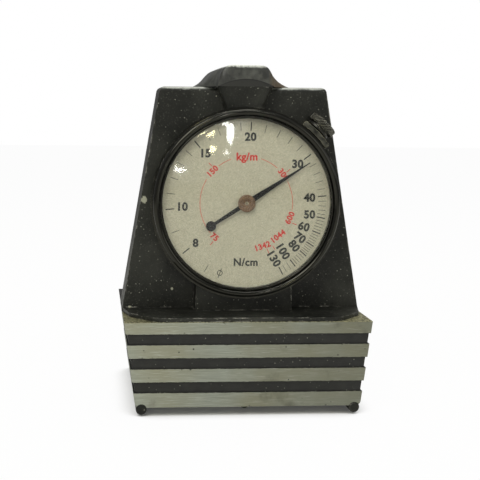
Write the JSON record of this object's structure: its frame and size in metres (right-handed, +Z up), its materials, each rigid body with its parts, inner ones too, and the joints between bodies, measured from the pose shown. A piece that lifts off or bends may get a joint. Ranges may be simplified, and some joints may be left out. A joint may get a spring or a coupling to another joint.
{
  "type": "tension meter",
  "caption": "Upright mesh tension meter: round dial indicator in a cast housing on a banded block with two rails and a sprung measuring bar.",
  "frame": {"origin": "centre of the footprint, at the underside of the measuring bar at rest", "axes": "+Z up, dial faces -Y, +X to the right of someone reading the dial"},
  "size_m": [0.073, 0.06, 0.1022],
  "materials": {
    "casting_black": "satin",
    "base_aluminium": "satin",
    "bezel_black": "gloss",
    "window": "polished",
    "dial_print": "matte",
    "steel": "satin",
    "black_steel": "satin",
    "brass": "satin",
    "pointer_black": "matte",
    "hub_copper": "satin"
  },
  "bodies": {
    "housing": {"base_block": "base_aluminium", "base_screws": "steel", "support_rail_left": "black_steel", "support_rail_right": "black_steel", "guide_bushings": "brass", "load_springs": "steel", "front_housing": "casting_black", "rear_housing": "casting_black", "housing_screws": "steel", "top_ridge": "casting_black", "ridge_screws": "steel", "indicator_case": "casting_black", "stem": "steel", "front_plate": "brass", "bridge_plate": "brass", "back_plate": "brass", "movement_pillars": "brass", "movement_screws": "steel", "spindle_guide": "brass", "hairspring_stud": "brass", "clamp_boss": "bezel_black"},
    "bar": {"measuring_bar": "black_steel", "bar_carrier": "steel", "guide_pins": "steel", "spindle": "steel"},
    "pointer_arbor": {"pointer": "pointer_black", "pointer_hub": "hub_copper", "centre_arbor": "steel", "centre_pinion": "steel"},
    "drive_arbor_set": {"drive_wheel": "brass", "drive_arbor": "steel", "rack_pinion": "steel"},
    "take_up_set": {"take_up_wheel": "brass", "take_up_arbor": "steel", "hairspring": "steel"},
    "bezel": {"bezel_ring": "bezel_black", "crystal": "window", "dial_face": "dial_print", "glass_spacer": "bezel_black"},
    "clamp_screw": {"clamp_knob": "bezel_black"},
    "clamp_shoe_slide": {"clamp_shoe": "bezel_black"}
  },
  "joints": [
    {"name": "bar_slide", "type": "slide", "parent": "housing", "child": "bar", "axis": [0, 0, 1], "range_m": [-0.00078, 0.00056], "stiffness_N_per_m": 3000, "springref_m": -0.00078, "deforming": ["load_springs"]},
    {"name": "pointer_turn", "type": "hinge", "parent": "housing", "child": "pointer_arbor", "pos_m": [0, -0.015, 0.0613], "axis": [0, 1, 0], "range_deg": [-221.1, 158.74]},
    {"name": "drive_turn", "type": "hinge", "parent": "housing", "child": "drive_arbor_set", "pos_m": [-0.00221, -0.015, 0.05284], "axis": [0, 1, 0], "range_deg": [-26.46, 36.85]},
    {"name": "take_up_turn", "type": "hinge", "parent": "housing", "child": "take_up_set", "pos_m": [0.00397, -0.015, 0.0691], "axis": [0, 1, 0], "range_deg": [-26.46, 36.85]},
    {"name": "bezel_turn", "type": "hinge", "parent": "housing", "child": "bezel", "pos_m": [0, -0.0208, 0.0613], "axis": [0, 1, 0], "continuous": true},
    {"name": "clamp_turn", "type": "hinge", "parent": "housing", "child": "clamp_screw", "pos_m": [0.02256, -0.0169, 0.08386], "axis": [0.7071, 0, 0.7071], "range_deg": [0, 360]},
    {"name": "shoe_slide", "type": "slide", "parent": "housing", "child": "clamp_shoe_slide", "axis": [0.7071, 0, 0.7071], "range_m": [0, 0.00025]}
  ],
  "couplings": [
    {"joint": "pointer_turn", "follows": "bar_slide", "rad_per_m": 4947.4},
    {"joint": "drive_turn", "follows": "bar_slide", "rad_per_m": -824.57},
    {"joint": "take_up_turn", "follows": "bar_slide", "rad_per_m": -824.57}
  ]
}
